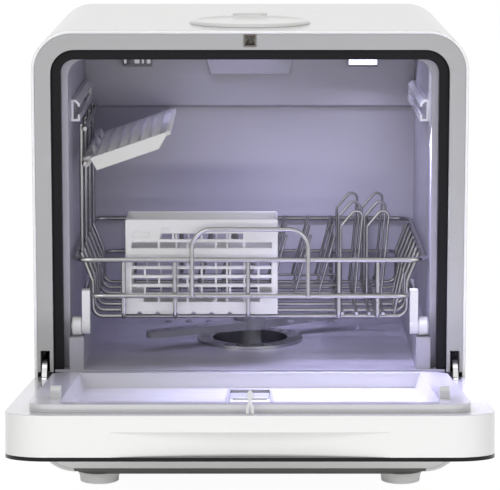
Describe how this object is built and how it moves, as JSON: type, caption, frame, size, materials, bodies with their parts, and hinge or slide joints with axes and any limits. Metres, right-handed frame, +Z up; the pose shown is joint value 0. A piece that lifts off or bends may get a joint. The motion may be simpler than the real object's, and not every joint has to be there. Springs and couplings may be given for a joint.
{
  "type": "countertop dishwasher",
  "caption": "Compact free-standing dishwasher with a drop-down door, a wheeled wire rack, a folding cup shelf, a cutlery basket and a built-in water tank.",
  "frame": {"origin": "centre of the standing box at the table, with the door open", "axes": "+Z up, -Y towards the open door, +X to the right seen from the front"},
  "size_m": [0.435, 0.7648, 0.4739],
  "materials": {
    "casing": "gloss white",
    "bezel": "light grey moulded plastic",
    "seal": "matt black",
    "tub": "satin grey moulded liner",
    "rear": "matt grey sheet",
    "base": "dark grey",
    "foot": "light grey",
    "white_plastic": "gloss white",
    "black_gloss": "gloss black panel",
    "window": "smoked window",
    "key": "grey keys",
    "catch": "dark grey",
    "rail": "translucent grey",
    "lamp": "clear lamp lens",
    "steel": "stainless steel",
    "arm": "grey moulded plastic",
    "pump": "dark moulded plastic",
    "tank": "translucent moulding",
    "board": "green circuit board",
    "chrome": "bright plated steel",
    "door_white": "gloss white",
    "door_liner": "satin light grey",
    "dispenser": "grey",
    "cover": "light grey",
    "wire": "coated grey wire",
    "wheel": "white plastic",
    "basket": "warm light grey plastic"
  },
  "bodies": {
    "cabinet": {"outer_casing": "casing", "front_bezel": "bezel", "door_gasket": "seal", "lower_seal": "seal", "tub_flange": "tub", "tub_wrapper": "tub", "tub_rear_wall": "tub", "tub_base": "tub", "rear_panel": "rear", "base_tray": "base", "base_plate": "base", "foot_front_left": "foot", "foot_front_right": "foot", "foot_rear_left": "foot", "foot_rear_right": "foot", "lower_apron": "white_plastic", "control_fascia": "black_gloss", "display_window": "window", "latch_catch": "catch", "upper_rails": "rail", "lamps": "lamp", "filter_screen": "steel", "arm_bearing": "arm", "circulation_pump": "pump", "drain_pump": "pump", "water_tank": "tank", "filler_well": "arm", "lid_hinge": "white_plastic", "control_board": "board", "inlet_connector": "white_plastic", "drain_spigot": "arm", "cord_gland": "seal", "hinge_brackets": "chrome"},
    "door": {"door_frame": "door_white", "door_front_panel": "black_gloss", "door_liner": "door_liner", "dispenser_housing": "dispenser", "latch_striker": "white_plastic", "stop_blocks": "white_plastic"},
    "rack": {"rack_rims": "wire", "rack_hoops": "wire", "rack_long_wires": "wire", "rack_handle": "wire", "rack_upright": "wire", "rack_tines": "wire", "rack_loops": "wire", "wheel_carriers": "wheel"},
    "button_power": {"button_power": "key"},
    "button_programme": {"button_programme": "key"},
    "button_drying": {"button_drying": "key"},
    "button_start": {"button_start": "key"},
    "wheel_front_left": {"wheel_front_left": "wheel"},
    "wheel_front_right": {"wheel_front_right": "wheel"},
    "wheel_rear_left": {"wheel_rear_left": "wheel"},
    "wheel_rear_right": {"wheel_rear_right": "wheel"},
    "dispenser_cover": {"dispenser_cover": "cover"},
    "cup_shelf": {"cup_shelf": "basket"},
    "cutlery_basket": {"cutlery_basket": "basket"},
    "spray_arm": {"spray_arm": "arm"},
    "filler_lid": {"filler_lid": "white_plastic"}
  },
  "joints": [
    {"name": "door_hinge", "type": "hinge", "parent": "cabinet", "child": "door", "pos_m": [0, -0.02623, 0.1133], "axis": [1, 0, 0], "range_deg": [-83.2, 0]},
    {"name": "rack_slide", "type": "slide", "parent": "cabinet", "child": "rack", "axis": [0, -1, 0], "range_m": [0, 0.283]},
    {"name": "cup_shelf_fold", "type": "hinge", "parent": "rack", "child": "cup_shelf", "pos_m": [-0.16825, -0.01763, 0.327], "axis": [0, -1, 0], "range_deg": [0, 52]},
    {"name": "basket_lift", "type": "slide", "parent": "rack", "child": "cutlery_basket", "axis": [0, 0, 1], "range_m": [0, 0.056]},
    {"name": "spray_arm_spin", "type": "hinge", "parent": "cabinet", "child": "spray_arm", "pos_m": [0, 0.14237, 0.143], "axis": [0, 0, 1], "continuous": true},
    {"name": "filler_lid_hinge", "type": "hinge", "parent": "cabinet", "child": "filler_lid", "pos_m": [0, 0.14437, 0.4712], "axis": [-1, 0, 0], "range_deg": [0, 80]},
    {"name": "dispenser_cover_slide", "type": "slide", "parent": "door", "child": "dispenser_cover", "axis": [0, 0.993, -0.1184], "range_m": [0, 0.076]},
    {"name": "button_power_press", "type": "slide", "parent": "cabinet", "child": "button_power", "axis": [0, 1, 0], "range_m": [0, 0.002], "stiffness_N_per_m": 400, "springref_m": -0.001},
    {"name": "button_programme_press", "type": "slide", "parent": "cabinet", "child": "button_programme", "axis": [0, 1, 0], "range_m": [0, 0.002], "stiffness_N_per_m": 400, "springref_m": -0.001},
    {"name": "button_drying_press", "type": "slide", "parent": "cabinet", "child": "button_drying", "axis": [0, 1, 0], "range_m": [0, 0.002], "stiffness_N_per_m": 400, "springref_m": -0.001},
    {"name": "button_start_press", "type": "slide", "parent": "cabinet", "child": "button_start", "axis": [0, 1, 0], "range_m": [0, 0.002], "stiffness_N_per_m": 400, "springref_m": -0.001},
    {"name": "wheel_front_left_spin", "type": "hinge", "parent": "rack", "child": "wheel_front_left", "pos_m": [-0.17515, -0.00163, 0.1675], "axis": [1, 0, 0], "continuous": true},
    {"name": "wheel_front_right_spin", "type": "hinge", "parent": "rack", "child": "wheel_front_right", "pos_m": [0.17515, -0.00163, 0.1675], "axis": [1, 0, 0], "continuous": true},
    {"name": "wheel_rear_left_spin", "type": "hinge", "parent": "rack", "child": "wheel_rear_left", "pos_m": [-0.17515, 0.21837, 0.1675], "axis": [1, 0, 0], "continuous": true},
    {"name": "wheel_rear_right_spin", "type": "hinge", "parent": "rack", "child": "wheel_rear_right", "pos_m": [0.17515, 0.21837, 0.1675], "axis": [1, 0, 0], "continuous": true}
  ]
}
